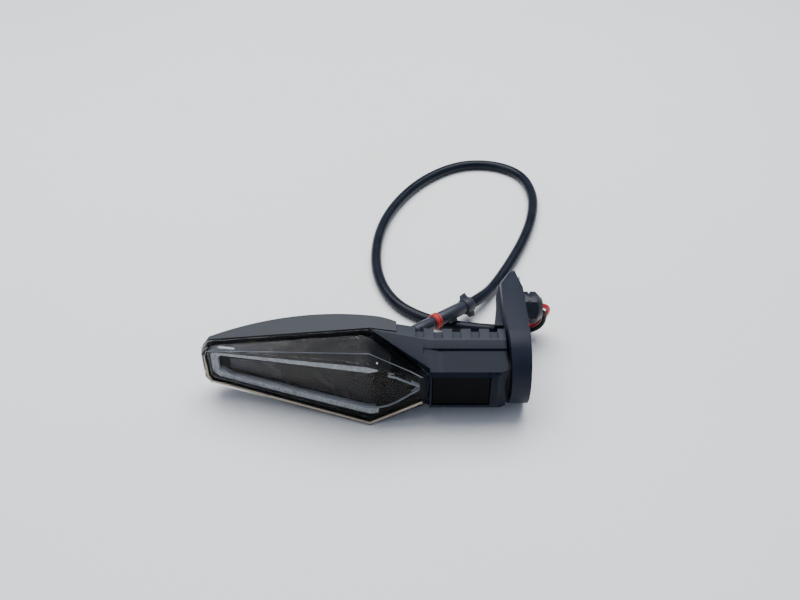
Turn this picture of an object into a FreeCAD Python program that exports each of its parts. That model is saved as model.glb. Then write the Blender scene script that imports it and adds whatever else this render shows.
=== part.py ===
"""LED turn indicator for a motorcycle, with its rubber neck, mounting foot, lead and plug.

The lamp points along -X and its lens looks along -Y. The foot's mounting face is the plane x = 0,
with the threaded insert's axis on the X axis. The part lies on a table at z = TABLE_Z.
"""
import FreeCAD, Part
import math
import os
from FreeCAD import Vector

os.makedirs("parts", exist_ok=True)

# Lamp: the outline seen from the front, and the depths seen from above
TIP_X = -136.5
TIP_SHOULDER_X = -133.8
WIDE_X = -66.0
NECK_X = -41.5
TIP_HALF = 6.5
TIP_SHOULDER_HALF = 10.0
WIDE_HALF = 17.7
NECK_HALF = 7.6
TIP_FRONT_Y = -18.5
WIDE_FRONT_Y = -36.3
NECK_FRONT_Y = -33.0
NECK_END_Y = -30.8
TIP_PARTING_Y = -13.6
WIDE_PARTING_Y = -15.0
LENS_WALL = 2.0
SHELL_WALL = 2.0
SHELL_LIP = 0.3
SEAL_THICK = 0.8
SEAL_RECESS = 0.5
LENS_EDGE_R = 1.3
SHELL_EDGE_R = 2.5
SHELL_END_X = -55.0
SHELL_END_BACK_Y = -8.5
SHELL_MID_X = -90.0
SHELL_MID_BACK_Y = -1.2
TIP_BACK_Y = -10.8
SHELL_END_HALF = 16.4

# Inside the lamp: depths behind the lens's front face, and insets from its outline
GUIDE_DEPTH = (4.5, 8.5)
GUIDE_INSET = (3.4, 7.4)
GUIDE_X = (-131.0, -64.0)
DEEP_INSET = 3.6
PANEL_DEPTH = (5.6, 9.0)
PANEL_X = (-125.0, -64.4)
PANEL_INSET = 8.4
BEZEL_DEPTH = (9.0, 10.2)
BEZEL_INSET = 2.4
BEZEL_X = (-134.3, -57.5)
SKIRT_DEPTH = 2.5
SKIRT_THICK = 0.8
END_PANEL_DEPTH = (3.0, 4.2)
END_PANEL = [(-63.6, 9.4), (-60.6, 9.8), (-59.2, 9.4), (-49.0, 5.6)]
LED_DEPTH = (10.4, 11.8)
LED_SIZE = 2.8
LED_WINDOW = 3.6
LED_X = [-115.5 + 9.0 * k for k in range(6)]
BOARD_DEPTH = (11.8, 13.4)
BOARD_INSET = 4.6
BOARD_X = (-119.5, -68.5)
SCREW_X = (-113.0, -80.0)
SCREW_HEAD_R = 2.2
SCREW_SHANK_R = 1.1
SCREW_LENGTH = 6.0
BOSS_R = 3.0

TERMINAL_X = (-76.4, -70.4)

# Neck: a rubber sleeve over two rigid cores, bending between them
NECK_TOP_HALF = 14.0
NECK_END_X = -9.6
NECK_SECTION = [(-33.3, 8.0), (-32.5, 10.2), (-17.4, 14.0), (-10.4, 14.0), (-7.2, 8.0)]
LEDGE_Y = -21.5
LEDGE_START_X = -44.0
LEDGE_FULL_X = -37.0
LEDGE_ROOT = (-22.3, 11.8)
END_BEVEL = [(-14.0, -33.4), (-9.4, -31.0), (-9.4, -34.0), (-14.0, -34.0)]
RIB_PITCH = 7.7
RIB_GAP = 3.6
RIB_DEPTH = 1.2
RIB_FRONT_Y = -16.0
FIRST_GAP_X = -12.7
GAP_COUNT = 5
PIVOT_X = -26.5
CORE_END_GAP = 3.0
CORE_Y = (-28.0, -10.2)
CORE_HALF = 8.0
CORE_ROOT_X = -60.0
SLOT_HALF = 3.2
SLEEVE_CLEARANCE = 0.4
FRONT_PANEL_X = (-40.5, -16.6)
FRONT_PANEL_HALF = 8.0
PANEL_RECESS = 1.4
PANEL_THICK = 0.9

# Foot
FOOT_HALF = 18.0
FOOT_THICK = 9.7
FOOT_THICKEST_Y = -2.0
FOOT_NOSE_THICK = 7.8
FOOT_REAR_THICK = 8.9
FOOT_NOSE_CENTRE_Y = -14.9
FOOT_REAR_Y = 30.0
FOOT_CORNER_R = 9.0
FOOT_CUT_Y = 12.0
FOOT_CUT_Z = -3.0
FOOT_SIDE_CORNER = ((-9.3, 15.0, 18.0), (-3.0, 26.0, 18.0), (-9.3, 25.0, 8.0))
FOOT_FACE_CORNER = ((-0.4, 14.0, 18.0), (-3.0, 26.0, 18.0), (0.0, 30.0, 10.0))
PLATE_THICK = 2.5
PLATE_INSET = 3.0
POCKET_Y = (-17.0, 21.8)
POCKET_HALF = 11.0
POCKET_FLOOR_X = -6.6
POCKET_WALL = 1.6
ISLAND_Y = (-8.0, 13.0)
ISLAND_HALF = 6.3
INSERT_R = 4.5
INSERT_LENGTH = 7.0
THREAD_R = 2.5

# Lead outlet, behind the threaded insert
OUTLET_Y = 19.5
OUTLET_HEX = 13.0
OUTLET_NUT_X = (1.2, 10.8)
OUTLET_GROOVE_X = (4.4, 5.2)
OUTLET_GROOVE_R = 6.7
OUTLET_BEVEL = 3.1
OUTLET_STEM_R = 5.0
OUTLET_STEM_X = (-3.5, 5.4)
OUTLET_FLANGE_R = 6.8
OUTLET_WASHER_R = 7.6
OUTLET_BORE_R = 3.4
GROMMET_X = (-1.0, 8.4)
WIRE_R = 1.1
WIRE_LANE_Z = 8.0
WIRE_LANE_X = -4.8
WIRE_Y = -12.0
WIRE_HALF_GAP = 1.5

# Lead: a sleeve round both wires, lying on the table in one open loop
TABLE_Z = -18.0
CORD_R = 2.75
CORD_Z = TABLE_Z + CORD_R
CORD_START_X = -9.5
CORD_START_Y = 21.3
CORD_ROUTE = [(CORD_START_X, CORD_START_Y, CORD_Z), (-18.5, 22.2, CORD_Z), (-29.5, 24.6, CORD_Z),
              (-43.0, 29.6, CORD_Z), (-55.8, 39.8, CORD_Z), (-64.0, 57.5, CORD_Z), (-66.5, 80.0, CORD_Z),
              (-63.5, 106.0, CORD_Z), (-54.5, 130.0, CORD_Z), (-39.5, 152.5, CORD_Z), (-19.0, 168.0, CORD_Z),
              (2.0, 168.5, CORD_Z), (17.5, 157.5, CORD_Z), (22.0, 136.5, CORD_Z), (19.2, 115.0, CORD_Z),
              (12.0, 92.5, CORD_Z), (2.2, 70.8, CORD_Z), (-7.2, 53.0, CORD_Z), (-14.0, 41.7, CORD_Z + 2.9),
              (-20.1, 35.4, CORD_Z + 4.1)]

# Free wires between the outlet and the sleeve, turning down and back under the foot
WIRE_RED_ROUTE = [(GROMMET_X[1], OUTLET_Y, WIRE_HALF_GAP), (14.6, OUTLET_Y, WIRE_HALF_GAP),
                  (13.6, 23.0, -9.0), (7.0, 22.9, CORD_Z), (-2.0, 22.5, CORD_Z),
                  (CORD_START_X + 0.3, 22.4, CORD_Z)]
WIRE_BLACK_ROUTE = [(GROMMET_X[1], OUTLET_Y, -WIRE_HALF_GAP), (12.7, OUTLET_Y, -WIRE_HALF_GAP),
                    (12.4, 19.2, -10.4), (6.0, 20.0, CORD_Z), (-2.0, 20.1, CORD_Z),
                    (CORD_START_X, 20.2, CORD_Z)]
NECK_LEAD_END_X = -12.0

# Plug on the lead's end, tilted because its nose lies over the lead
PLUG_LENGTH = 38.2
PLUG_R = 3.2
PLUG_NOSE_R = 2.9
PLUG_TILT = 9.0
PLUG_AIM = (-36.7, 19.2)
PLUG_ROLL = -45.0
PLUG_CAP_LENGTH = 5.0
PLUG_WING = 5.9
TAB_X = (12.5, 16.0)
PIN_R = 0.6
PIN_PITCH = 1.1
RING_AT = (22.6, 26.2)
RING_R = 3.7


def prism_y(points, y0, y1):
    """Solid with an outline of (x, z) points, from y0 to y1."""
    ring = [Vector(x, y0, z) for x, z in points]
    return Part.Face(Part.makePolygon(ring + ring[:1])).extrude(Vector(0, y1 - y0, 0))


def prism_z(points, z0, z1):
    """Solid with an outline of (x, y) points, from z0 to z1."""
    ring = [Vector(x, y, z0) for x, y in points]
    return Part.Face(Part.makePolygon(ring + ring[:1])).extrude(Vector(0, 0, z1 - z0))


def prism_x(points, x0, x1):
    """Solid with an outline of (y, z) points, from x0 to x1."""
    ring = [Vector(x0, y, z) for y, z in points]
    return Part.Face(Part.makePolygon(ring + ring[:1])).extrude(Vector(x1 - x0, 0, 0))


def block(x, y, z):
    """Box between two corners, given as three (low, high) pairs."""
    return Part.makeBox(x[1] - x[0], y[1] - y[0], z[1] - z[0], Vector(x[0], y[0], z[0]))


def rod(radius, start, end):
    """Cylinder between two points."""
    axis = Vector(*end) - Vector(*start)
    return Part.makeCylinder(radius, axis.Length, Vector(*start), axis)


def mirrored(half):
    """Closed outline from its upper half, mirrored in the plane z = 0."""
    return half + [(a, -z) for a, z in reversed(half)]


def inset(points, distance):
    """Convex outline moved inward by a distance (outward when it is negative)."""
    count = len(points)
    area = sum(points[i][0] * points[(i + 1) % count][1] - points[(i + 1) % count][0] * points[i][1]
               for i in range(count))
    side = 1.0 if area > 0 else -1.0
    lines = []
    for i in range(count):
        (x0, z0), (x1, z1) = points[i], points[(i + 1) % count]
        length = math.hypot(x1 - x0, z1 - z0)
        nx, nz = -(z1 - z0) / length * side, (x1 - x0) / length * side
        lines.append((nx, nz, nx * x0 + nz * z0 + distance))
    corners = []
    for i in range(count):
        (a, b, c), (d, e, f) = lines[i - 1], lines[i]
        det = a * e - b * d
        corners.append(((c * e - b * f) / det, (a * f - c * d) / det))
    return corners


def fused(shapes):
    """One solid from shapes that overlap or touch."""
    whole = shapes[0]
    for shape in shapes[1:]:
        whole = whole.fuse(shape)
    return whole.removeSplitter()


def rounded(solid, radius, wanted):
    """Solid with the edges rounded whose both ends pass the test."""
    edges = [edge for edge in solid.Edges if all(wanted(v.Point) for v in edge.Vertexes)]
    return solid.makeFillet(radius, edges)


# Lamp envelopes

LENS_OUTLINE = mirrored([(TIP_X, TIP_HALF), (TIP_SHOULDER_X, TIP_SHOULDER_HALF), (WIDE_X, WIDE_HALF),
                         (NECK_X, NECK_HALF)])
DEEP_OUTLINE = mirrored([(TIP_X, TIP_SHOULDER_HALF - 0.3), (WIDE_X, WIDE_HALF), (NECK_X, NECK_HALF)])
SHELL_OUTLINE = mirrored([(TIP_X - SHELL_LIP, TIP_HALF), (TIP_SHOULDER_X, TIP_SHOULDER_HALF + SHELL_LIP),
                          (WIDE_X, WIDE_HALF + SHELL_LIP), (SHELL_END_X, SHELL_END_HALF)])


BACK_ARC = Part.Arc(Vector(SHELL_END_X, SHELL_END_BACK_Y, 0.0), Vector(SHELL_MID_X, SHELL_MID_BACK_Y, 0.0),
                    Vector(TIP_X - SHELL_LIP, TIP_BACK_Y, 0.0)).toShape().Curve
def front_y(x):
    """Depth of the lens's front face at a place along the lamp."""
    if x < WIDE_X:
        return TIP_FRONT_Y + (WIDE_FRONT_Y - TIP_FRONT_Y) * (x - TIP_X) / (WIDE_X - TIP_X)
    return WIDE_FRONT_Y + (NECK_FRONT_Y - WIDE_FRONT_Y) * (x - WIDE_X) / (NECK_X - WIDE_X)


def parting_y(x):
    """Depth of the plane where lens and shell meet."""
    return TIP_PARTING_Y + (WIDE_PARTING_Y - TIP_PARTING_Y) * (x - TIP_X) / (WIDE_X - TIP_X)


def band(depths, span):
    """Layer behind the lens's front face, between two depths and two places along the lamp."""
    places = [span[0]] + [x for x in (WIDE_X,) if span[0] < x < span[1]] + [span[1]]
    near = [(x, front_y(x) + depths[0]) for x in places]
    far = [(x, front_y(x) + depths[1]) for x in reversed(places)]
    return prism_z(near + far, -30.0, 30.0)


def column(distance):
    """Tall prism of the lens's outline, inset; a deep inset leaves out the tip's bevels."""
    outline = LENS_OUTLINE if distance < DEEP_INSET else DEEP_OUTLINE
    return prism_y(inset(outline, distance), -60.0, 20.0)


def layer(depths, span, distance):
    """Plate that follows the lens's front face, inset from its outline."""
    return column(distance).common(band(depths, span))


def lens():
    """Clear cover: front face, side walls, and the slanting wall next to the neck."""
    reach = 4.0
    outer_plan = [(TIP_X, TIP_FRONT_Y), (WIDE_X, WIDE_FRONT_Y), (NECK_X, NECK_FRONT_Y), (NECK_X, NECK_END_Y),
                  (WIDE_X, WIDE_PARTING_Y), (TIP_X, TIP_PARTING_Y)]
    outer = prism_y(LENS_OUTLINE, -60.0, 20.0).common(prism_z(outer_plan, -30.0, 30.0))
    on_front = lambda p: abs(p.y - front_y(p.x)) < 0.01
    outer = rounded(outer, LENS_EDGE_R, on_front)
    slope = (WIDE_PARTING_Y - NECK_END_Y) / (NECK_X - WIDE_X)
    drop = LENS_WALL * math.hypot(1.0, slope)
    near_x = WIDE_X - reach
    wall_y = NECK_END_Y - drop
    front_slope = (NECK_FRONT_Y - WIDE_FRONT_Y) / (NECK_X - WIDE_X)
    meet_x = NECK_X - (NECK_FRONT_Y + LENS_WALL - wall_y) / (slope + front_slope)
    inner_plan = [(TIP_X - 1.0, front_y(TIP_X - 1.0) + LENS_WALL), (WIDE_X, WIDE_FRONT_Y + LENS_WALL),
                  (meet_x, front_y(meet_x) + LENS_WALL), (near_x, wall_y + slope * (NECK_X - near_x)),
                  (near_x, 10.0), (TIP_X - 1.0, 10.0)]
    inner = column(LENS_WALL).common(prism_z(inner_plan, -30.0, 30.0))
    return outer.cut(inner)


def back_y(x, depth=0.0):
    """Depth of the shell's curved back at a place along the lamp, less a wall."""
    centre = BACK_ARC.Center
    return centre.y + math.sqrt((BACK_ARC.Radius - depth) ** 2 - (x - centre.x) ** 2)


def back_slab(depth, x0, x1):
    """Solid in front of the shell's curved back, between two places along the lamp."""
    floor_z = -30.0
    front = -60.0
    spots = [Vector(x, back_y(x, depth), floor_z) for x in (x0, (x0 + x1) / 2, x1)]
    near = [Vector(x, front, floor_z) for x in (x1, x0)]
    edges = [Part.Arc(*spots), Part.LineSegment(spots[2], near[0]), Part.LineSegment(near[0], near[1]),
             Part.LineSegment(near[1], spots[0])]
    return Part.Face(Part.Wire([edge.toShape() for edge in edges])).extrude(Vector(0, 0, -2 * floor_z))


def seal_band(shift0, shift1):
    """Layer parallel to the parting plane."""
    places = (TIP_X - 2.0, WIDE_X)
    near = [(x, parting_y(x) + shift0) for x in places]
    far = [(x, parting_y(x) + shift1) for x in reversed(places)]
    return prism_z(near + far, -30.0, 30.0)


def lens_seal():
    """Gasket frame between lens and shell."""
    ring = column(SEAL_RECESS)
    hole = column(LENS_WALL)
    hole = hole.common(block((TIP_X, WIDE_X - 4.0), (-60.0, 20.0), (-30.0, 30.0)))
    return ring.cut(hole).common(seal_band(0.0, SEAL_THICK))


def boss_places():
    """Board screw axes, on the lamp's middle plane."""
    return [Vector(x, front_y(x) + BOARD_DEPTH[1], 0.0) for x in SCREW_X]


def neck_core_head():
    """Rigid tongue fixed to the lamp, inside the sleeve."""
    end_x = PIVOT_X - CORE_END_GAP
    bar = block((CORE_ROOT_X, end_x), CORE_Y, (-CORE_HALF, CORE_HALF))
    bar = rounded(bar, 2.0, lambda p: p.x > end_x - 0.01)
    slot = block((CORE_ROOT_X - 1.0, end_x + 1.0), (WIRE_Y - 2.6, CORE_Y[1] + 1.0), (-SLOT_HALF, SLOT_HALF))
    return bar.cut(slot).cut(behind_lens(0.2))


def behind_lens(gap):
    """Wedge that the lens's slanting wall takes up, grown backward by a gap."""
    points = [(WIDE_X - 20.0, WIDE_PARTING_Y + gap), (WIDE_X, WIDE_PARTING_Y + gap),
              (NECK_X, NECK_END_Y + gap),
              (NECK_X + gap, NECK_END_Y + gap), (NECK_X + gap, -60.0), (WIDE_X - 20.0, -60.0)]
    return prism_z(points, -30.0, 30.0)


def rear_shell():
    """Housing behind the lens, with a socket for the tongue and bosses for the board."""
    outer = prism_y(SHELL_OUTLINE, -60.0, 20.0).common(back_slab(0.0, TIP_X - SHELL_LIP, SHELL_END_X))
    joint = [(x, parting_y(x) + SEAL_THICK) for x in (TIP_X - 2.0, SHELL_END_X + 1.0)]
    outer = outer.cut(prism_z(joint + [(SHELL_END_X + 1.0, -80.0), (TIP_X - 2.0, -80.0)], -30.0, 30.0))
    outer = rounded(outer, SHELL_EDGE_R, lambda p: p.x < SHELL_END_X - 0.1 and abs(p.y - back_y(p.x)) < 0.01)
    shell = outer.cut(column(LENS_WALL).common(back_slab(SHELL_WALL, TIP_X, WIDE_X - 2.0)))
    board = layer(BOARD_DEPTH, BOARD_X, BOARD_INSET)
    for place in boss_places():
        boss = rod(BOSS_R, (place.x, place.y - 0.8, 0.0), (place.x, back_y(place.x) - 1.2, 0.0))
        shell = shell.fuse(boss.cut(board))
    for place in boss_places():
        shell = shell.cut(rod(SCREW_SHANK_R, (place.x, place.y - 1.0, 0.0),
                              (place.x, place.y + SCREW_LENGTH - 1.6, 0.0)))
    socket = block((CORE_ROOT_X, SHELL_END_X + 1.0), CORE_Y, (-CORE_HALF, CORE_HALF))
    wire_hole = block((WIDE_X - 4.0, CORE_ROOT_X + 1.0), (WIRE_Y - 1.6, WIRE_Y + 2.8),
                      (-SLOT_HALF, SLOT_HALF))
    return shell.cut(socket).cut(wire_hole).removeSplitter()


def lens_room(gap):
    """Everything in front of the joint and of the lens's slanting wall, less a gap."""
    slope = (WIDE_PARTING_Y - NECK_END_Y) / (NECK_X - WIDE_X)
    drop = LENS_WALL * math.hypot(1.0, slope)
    far = -60.0
    plan = [(TIP_X, far), (NECK_X, far), (NECK_X, NECK_END_Y - drop - gap),
            (WIDE_X - drop / slope, WIDE_PARTING_Y - gap), (TIP_X, TIP_PARTING_Y - gap)]
    return prism_z(plan, -30.0, 30.0)


def bezel():
    """Dark inner cover: back plate with LED windows, a skirt along the lens's wall, and the middle panel."""
    gap = 0.3
    far = 60.0
    plate = layer(BEZEL_DEPTH, BEZEL_X, BEZEL_INSET)
    panel = layer(PANEL_DEPTH, PANEL_X, PANEL_INSET)
    inner = column(BEZEL_INSET + SKIRT_THICK)
    skirt = column(BEZEL_INSET).cut(inner).common(band((SKIRT_DEPTH, far), BEZEL_X))
    solid = fused([plate, panel, skirt]).common(lens_room(gap))
    for place in boss_places():
        head_y = front_y(place.x) + BEZEL_DEPTH[0] + gap
        solid = solid.cut(rod(SCREW_HEAD_R + gap, (place.x, head_y, 0.0), (place.x, far, 0.0)))
    half = LED_WINDOW / 2
    for x, z in led_places():
        solid = solid.cut(block((x - half, x + half), (-far, far), (z - half, z + half)))
    return solid


def end_panel():
    """Black inner panel between the bezel's middle panel and the neck."""
    outline = prism_y(mirrored(END_PANEL), -60.0, 20.0)
    return outline.common(band(END_PANEL_DEPTH, (END_PANEL[0][0] - 1.0, NECK_X)))


def outline_half(x):
    """Half height of the lens's outline between the tip's shoulder and the widest place."""
    along = (x - TIP_SHOULDER_X) / (WIDE_X - TIP_SHOULDER_X)
    return TIP_SHOULDER_HALF + (WIDE_HALF - TIP_SHOULDER_HALF) * along


def led_places():
    """LED centres along the upper and the lower arm of the light guide."""
    middle = sum(GUIDE_INSET) / 2
    return [(x, side * (outline_half(x) - middle)) for x in LED_X for side in (1, -1)]


def light_guide():
    """U-shaped bar that follows the tip and both long edges."""
    bar = layer(GUIDE_DEPTH, GUIDE_X, GUIDE_INSET[0])
    return bar.cut(column(GUIDE_INSET[1]))


def led_board():
    """Circuit board behind the inner cover."""
    board = layer(BOARD_DEPTH, BOARD_X, BOARD_INSET)
    for place in boss_places():
        board = board.cut(rod(SCREW_SHANK_R + 0.2, (place.x, -60.0, 0.0), (place.x, 20.0, 0.0)))
    return board


def leds():
    """LED packages on the board's front."""
    half = LED_SIZE / 2
    pieces = [block((x - half, x + half), (-60.0, 20.0), (z - half, z + half)) for x, z in led_places()]
    return Part.makeCompound([piece.common(band(LED_DEPTH, BOARD_X)) for piece in pieces])


def board_parts():
    """Driver chip, capacitors and resistors on the board's back."""
    depths = (BOARD_DEPTH[1], BOARD_DEPTH[1] + 1.4)
    low = band(depths, BOARD_X)
    tall = band((BOARD_DEPTH[1], BOARD_DEPTH[1] + 2.6), BOARD_X)
    chip = block((-96.0, -91.0), (-60.0, 20.0), (-3.0, 3.0)).common(low)
    chokes = [block((-86.0, -82.0), (-60.0, 20.0), (z - 2.0, z + 2.0)).common(tall) for z in (-5.0, 5.0)]
    resistors = [block((x, x + 1.6), (-60.0, 20.0), (z - 1.6, z + 1.6)).common(low)
                 for x in (-104.0, -101.0, -89.0) for z in (-4.4, 4.4)]
    return Part.makeCompound([chip] + chokes + resistors)


def board_terminal():
    """Solder block where both leads reach the board."""
    body = block(TERMINAL_X, (-60.0, WIRE_Y + 2.4), (-4.5, 4.5))
    return body.common(band((BOARD_DEPTH[1], 60.0), BOARD_X))


def board_screws():
    """Two screws that hold the board on the shell's bosses."""
    screws = []
    for place in boss_places():
        head_y = front_y(place.x) + BOARD_DEPTH[0]
        head = rod(SCREW_HEAD_R, (place.x, head_y - 1.6, 0.0), (place.x, head_y - 0.5, 0.0))
        neck = rod(SCREW_HEAD_R, (place.x, head_y - 0.5, 0.0), (place.x, head_y + 0.6, 0.0))
        neck = neck.cut(layer(BOARD_DEPTH, BOARD_X, BOARD_INSET))
        shank = rod(SCREW_SHANK_R, (place.x, head_y - 0.6, 0.0), (place.x, head_y + SCREW_LENGTH - 1.0, 0.0))
        slot = block((place.x - 0.4, place.x + 0.4), (head_y - 2.0, head_y - 1.0), (-1.8, 1.8))
        screws.append(fused([head, neck, shank]).cut(slot))
    return Part.makeCompound(screws)


# Neck

def beyond(a, b, c, inside):
    """Thick slab on the far side of the plane through three points, seen from a point inside."""
    origin = Vector(*a)
    u = (Vector(*b) - origin).normalize()
    normal = u.cross(Vector(*c) - origin).normalize()
    if normal.dot(Vector(*inside) - origin) > 0:
        normal = normal * -1.0
    v = normal.cross(u)
    reach = 120.0
    ring = [origin + u * (reach * i) + v * (reach * j) for i, j in ((-1, -1), (1, -1), (1, 1), (-1, 1))]
    return Part.Face(Part.makePolygon(ring + ring[:1])).extrude(normal * 60.0)


def sleeve_outside():
    """Outer form of the neck: the stalk, and the part that widens to meet the lamp."""
    stalk = prism_x(mirrored(NECK_SECTION), NECK_X, NECK_END_X)
    top = [(WIDE_X, WIDE_HALF), (NECK_X, NECK_TOP_HALF), (NECK_X, -NECK_TOP_HALF), (WIDE_X, -WIDE_HALF)]
    shoulder, top_front, top_back, back = [Vector(NECK_X, y, z) for y, z in NECK_SECTION[1:]]
    plan = [(NECK_X, NECK_END_Y), (WIDE_X, WIDE_PARTING_Y), (WIDE_X, parting_y(WIDE_X) + 0.6),
            (SHELL_END_X, parting_y(SHELL_END_X) + 0.6), (SHELL_END_X, SHELL_END_BACK_Y), (NECK_X, back.y)]
    wide = prism_y(top, -60.0, 20.0).common(prism_z(plan, -30.0, 30.0))
    inside = (NECK_X - 8.0, -18.0, 0.0)
    for side in (1, -1):
        facet = beyond((WIDE_X, WIDE_PARTING_Y, side * WIDE_HALF),
                       (NECK_X, top_front.y, side * top_front.z), (NECK_X, shoulder.y, side * shoulder.z),
                       inside)
        heel = beyond((SHELL_END_X, SHELL_END_BACK_Y, side * top_back.z),
                      (NECK_X, top_back.y, side * top_back.z), (NECK_X, back.y, side * back.z), inside)
        wide = wide.cut(facet).cut(heel)
    sleeve = fused([stalk, wide]).cut(prism_z(END_BEVEL, -30.0, 30.0))
    for side in (1, -1):
        sleeve = sleeve.cut(ledge_recess(side, shoulder))
    return sleeve


def ledge_recess(side, shoulder):
    """Shallow recess below the ledge on the stalk's upper or lower face, fading out towards the lamp."""
    root_y, root_z = LEDGE_ROOT
    slope = (NECK_SECTION[2][1] - shoulder.z) / (NECK_SECTION[2][0] - shoulder.y)
    edge_z = shoulder.z + slope * (LEDGE_Y - shoulder.y)
    inside = (LEDGE_FULL_X, -20.0, 0.0)
    root = (LEDGE_FULL_X, root_y, side * root_z)
    low = (LEDGE_FULL_X, shoulder.y, side * shoulder.z)
    level = beyond(root, low, (NECK_END_X, root_y, side * root_z), inside)
    ramp = beyond(root, low, (LEDGE_START_X, LEDGE_Y, side * edge_z), inside)
    level = level.common(block((LEDGE_FULL_X, NECK_END_X + 1.0), (-40.0, LEDGE_Y), (-30.0, 30.0)))
    ramp = ramp.common(block((LEDGE_START_X, LEDGE_FULL_X), (-40.0, LEDGE_Y), (-30.0, 30.0)))
    return level.fuse(ramp)


def neck_sleeve():
    """Rubber sleeve with ribs on its back and a recess for the front panel."""
    sleeve = sleeve_outside()
    for k in range(GAP_COUNT):
        high = FIRST_GAP_X - RIB_PITCH * k
        gap = (high - RIB_GAP, high)
        top_back, back = NECK_SECTION[3:]
        groove = block(gap, (RIB_FRONT_Y, back[0] + 1.0), (-20.0, 20.0))
        half = NECK_TOP_HALF + max(0.0, NECK_X - gap[1]) * (WIDE_HALF - NECK_TOP_HALF) / (NECK_X - WIDE_X)
        keep = prism_x(inset(mirrored([(-30.0, half), (top_back[0], half), back]), RIB_DEPTH),
                       gap[0] - 1.0, gap[1] + 1.0)
        sleeve = sleeve.cut(groove.cut(keep))
    c = SLEEVE_CLEARANCE
    cavity = block((CORE_ROOT_X - c, NECK_END_X + 1.0), (CORE_Y[0] - c, CORE_Y[1] + c),
                   (-CORE_HALF - c, CORE_HALF + c))
    front = NECK_SECTION[0][0]
    recess = block(FRONT_PANEL_X, (front - 1.0, front + PANEL_RECESS), (-FRONT_PANEL_HALF, FRONT_PANEL_HALF))
    return sleeve.cut(cavity).cut(recess).cut(behind_lens(0.15)).removeSplitter()


def front_panel():
    """Gloss panel in the sleeve's recess."""
    back = NECK_SECTION[0][0] + PANEL_RECESS
    gap = 0.15
    panel = block((FRONT_PANEL_X[0] + gap, FRONT_PANEL_X[1] - gap), (back - PANEL_THICK, back),
                  (-FRONT_PANEL_HALF + gap, FRONT_PANEL_HALF - gap))
    return rounded(panel, 0.4, lambda p: p.y < back - 0.1)


def neck_core_base():
    """Rigid tongue fixed to the foot, inside the sleeve."""
    start_x = PIVOT_X + CORE_END_GAP
    bar = block((start_x, POCKET_FLOOR_X), CORE_Y, (-CORE_HALF, CORE_HALF))
    bar = rounded(bar, 2.0, lambda p: p.x < start_x + 0.01)
    slot = block((start_x - 1.0, 0.0), (WIRE_Y - 2.6, CORE_Y[1] + 1.0), (-SLOT_HALF, SLOT_HALF))
    return bar.cut(slot)


# Foot

def foot_outline(distance, x):
    """Closed wire of the foot's side view, inset by a distance, in the plane at x."""
    half = FOOT_HALF - distance
    rear = FOOT_REAR_Y - distance
    corner = FOOT_CORNER_R - distance
    corner_y = FOOT_REAR_Y - FOOT_CORNER_R
    corner_z = FOOT_HALF - FOOT_CORNER_R
    turn = math.sqrt(0.5)
    cut_angle = math.atan2(FOOT_CUT_Z + FOOT_HALF, FOOT_REAR_Y - FOOT_CUT_Y)
    low_slant = math.tan(cut_angle / 2)
    rear_slant = math.tan((math.pi / 2 - cut_angle) / 2)
    nose_top = Vector(x, FOOT_NOSE_CENTRE_Y, half)
    nose = Vector(x, FOOT_NOSE_CENTRE_Y - half, 0.0)
    nose_bottom = Vector(x, FOOT_NOSE_CENTRE_Y, -half)
    top_end = Vector(x, corner_y, half)
    corner_mid = Vector(x, corner_y + corner * turn, corner_z + corner * turn)
    rear_top = Vector(x, rear, corner_z)
    rear_bottom = Vector(x, rear, FOOT_CUT_Z + rear_slant * distance)
    cut_bottom = Vector(x, FOOT_CUT_Y - low_slant * distance, -half)
    edges = [Part.Arc(nose_bottom, nose, nose_top), Part.LineSegment(nose_top, top_end),
             Part.Arc(top_end, corner_mid, rear_top), Part.LineSegment(rear_top, rear_bottom),
             Part.LineSegment(rear_bottom, cut_bottom), Part.LineSegment(cut_bottom, nose_bottom)]
    return Part.Wire([edge.toShape() for edge in edges])


def foot_plate_form(distance, x0, x1):
    """Solid slab with the foot's side outline."""
    return Part.Face(foot_outline(distance, x0)).extrude(Vector(x1 - x0, 0, 0))


def mounting_foot():
    """Moulded foot with its rear web, hollow for the wires, the plate and the insert."""
    body = foot_plate_form(0.0, -FOOT_THICK, 0.0)
    nose_y = FOOT_NOSE_CENTRE_Y - FOOT_HALF
    taper = prism_z([(-FOOT_THICK - 2.0, nose_y), (-FOOT_NOSE_THICK, nose_y), (-FOOT_THICK, FOOT_THICKEST_Y),
                     (-FOOT_REAR_THICK, FOOT_REAR_Y), (-FOOT_THICK - 2.0, FOOT_REAR_Y)], -30.0, 30.0)
    inside = (-4.0, 0.0, 0.0)
    body = body.cut(taper).cut(beyond(*FOOT_SIDE_CORNER, inside)).cut(beyond(*FOOT_FACE_CORNER, inside))
    web = prism_z([(-8.0, 24.0), (-9.4, 23.0), (-13.4, -4.9), (-8.0, -4.9)], -11.0, 11.0)
    body = fused([body, web])
    pocket = block((POCKET_FLOOR_X, 0.0), POCKET_Y, (-POCKET_HALF, POCKET_HALF))
    pocket = pocket.common(foot_plate_form(POCKET_WALL, POCKET_FLOOR_X, 0.0))
    island = block((POCKET_FLOOR_X, 0.0), ISLAND_Y, (-ISLAND_HALF, ISLAND_HALF))
    body = body.cut(pocket.cut(island)).cut(foot_plate_form(PLATE_INSET, -PLATE_THICK, 1.0))
    body = body.cut(block((-20.0, POCKET_FLOOR_X), CORE_Y, (-CORE_HALF, CORE_HALF)))
    body = body.cut(rod(OUTLET_FLANGE_R, (OUTLET_STEM_X[0], OUTLET_Y, 0), (0.0, OUTLET_Y, 0)))
    return body.cut(rod(INSERT_R, (-INSERT_LENGTH, 0, 0), (1.0, 0, 0))).removeSplitter()


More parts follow.
